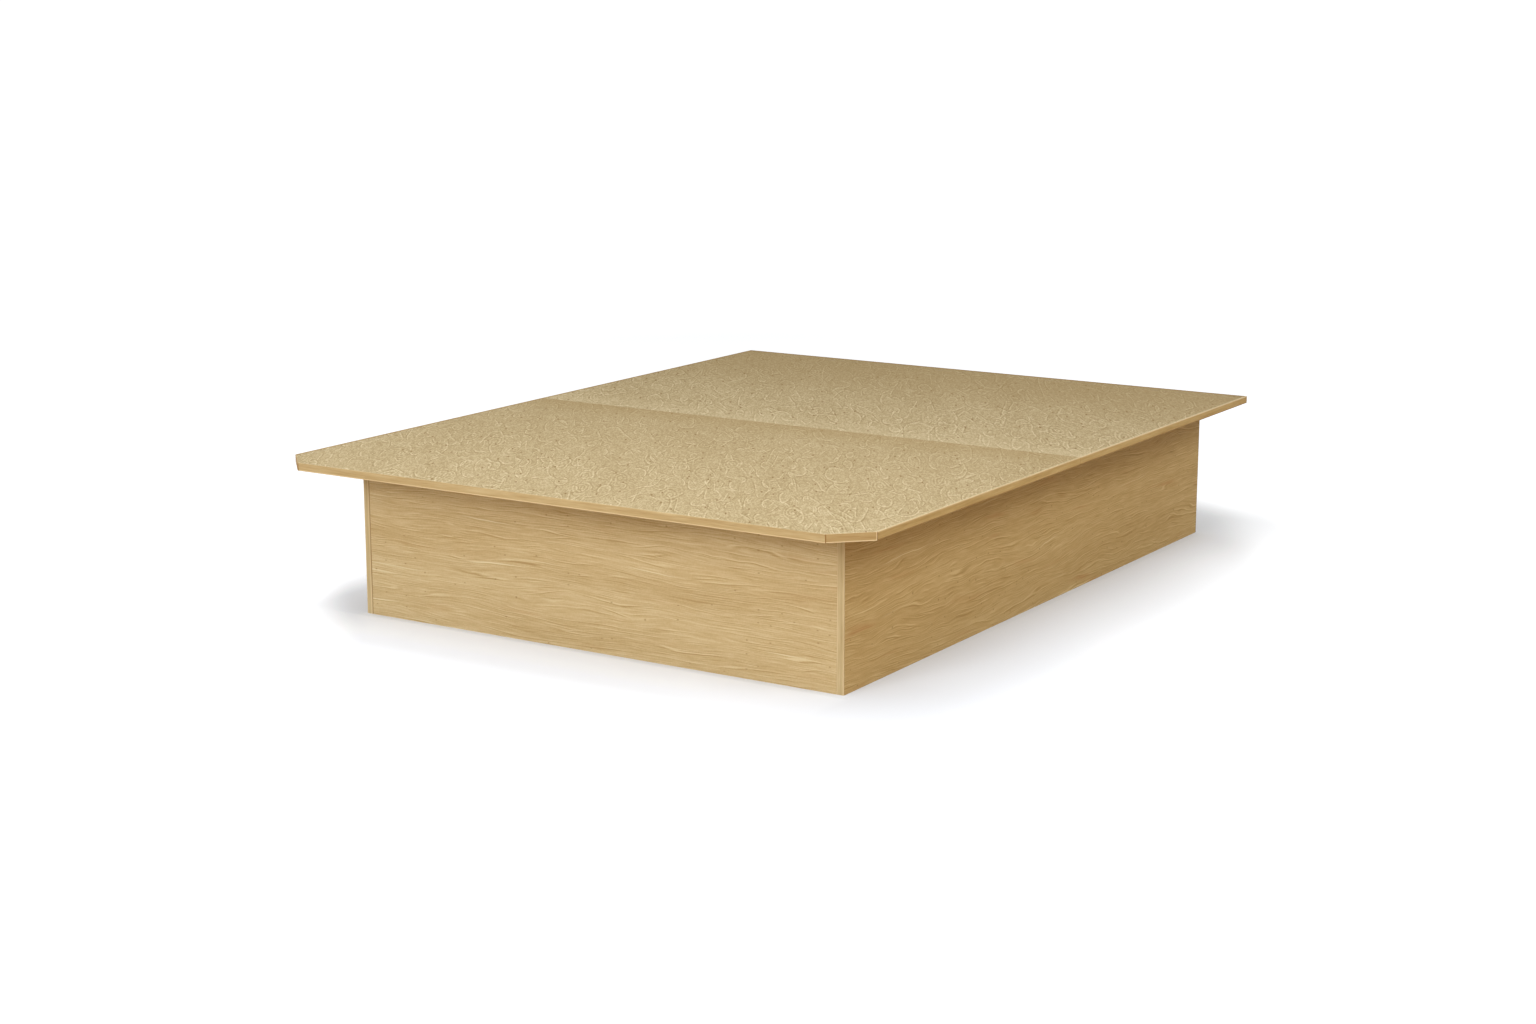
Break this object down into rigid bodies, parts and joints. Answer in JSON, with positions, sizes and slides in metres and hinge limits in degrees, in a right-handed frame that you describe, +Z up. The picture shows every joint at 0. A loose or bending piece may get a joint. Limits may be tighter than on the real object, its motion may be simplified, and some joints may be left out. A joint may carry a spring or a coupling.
{
  "type": "platform bed",
  "caption": "Low platform bed: a flat two-board top with two cut corners overhangs a plain panel base; the mattress lies straight on the top.",
  "frame": {"origin": "on the floor under the middle of the platform", "axes": "+X across the bed, +Y from the foot end to the head end, +Z up"},
  "size_m": [1.555, 2.032, 0.381],
  "materials": {
    "laminate": "pale horizontal wood-grain laminate on chipboard, satin",
    "chipboard": "raw chipboard with a fine pressed fleck, matt",
    "edge_band": "wood edge band, satin",
    "cam_zinc": "die-cast zinc, dull",
    "bolt_steel": "zinc-plated steel",
    "dowel_beech": "plain beech",
    "bracket_steel": "zinc-plated steel"
  },
  "bodies": {
    "root": {"side_panel_left": "laminate", "side_panel_right": "laminate", "foot_panel": "laminate", "head_panel": "laminate", "centre_panel": "laminate", "cross_panel": "laminate", "platform_foot": "chipboard", "platform_head": "chipboard", "platform_band_foot": "edge_band", "platform_band_cut_left": "edge_band", "platform_band_cut_right": "edge_band", "platform_band_foot_left": "edge_band", "platform_band_foot_right": "edge_band", "platform_band_head_left": "edge_band", "platform_band_head_right": "edge_band", "platform_band_head": "edge_band", "end_band_left_foot": "edge_band", "end_band_right_foot": "edge_band", "end_band_left_head": "edge_band", "end_band_right_head": "edge_band", "corner_cams": "cam_zinc", "centre_cams": "cam_zinc", "cross_cams": "cam_zinc", "corner_cam_bolts": "bolt_steel", "centre_cam_bolts": "bolt_steel", "cross_cam_bolts": "bolt_steel", "corner_dowels": "dowel_beech", "centre_dowels": "dowel_beech", "cross_dowels": "dowel_beech", "seam_dowels": "dowel_beech", "platform_brackets": "bracket_steel", "bracket_screws_base": "bracket_steel", "bracket_screws_platform": "bracket_steel"}
  },
  "joints": []
}
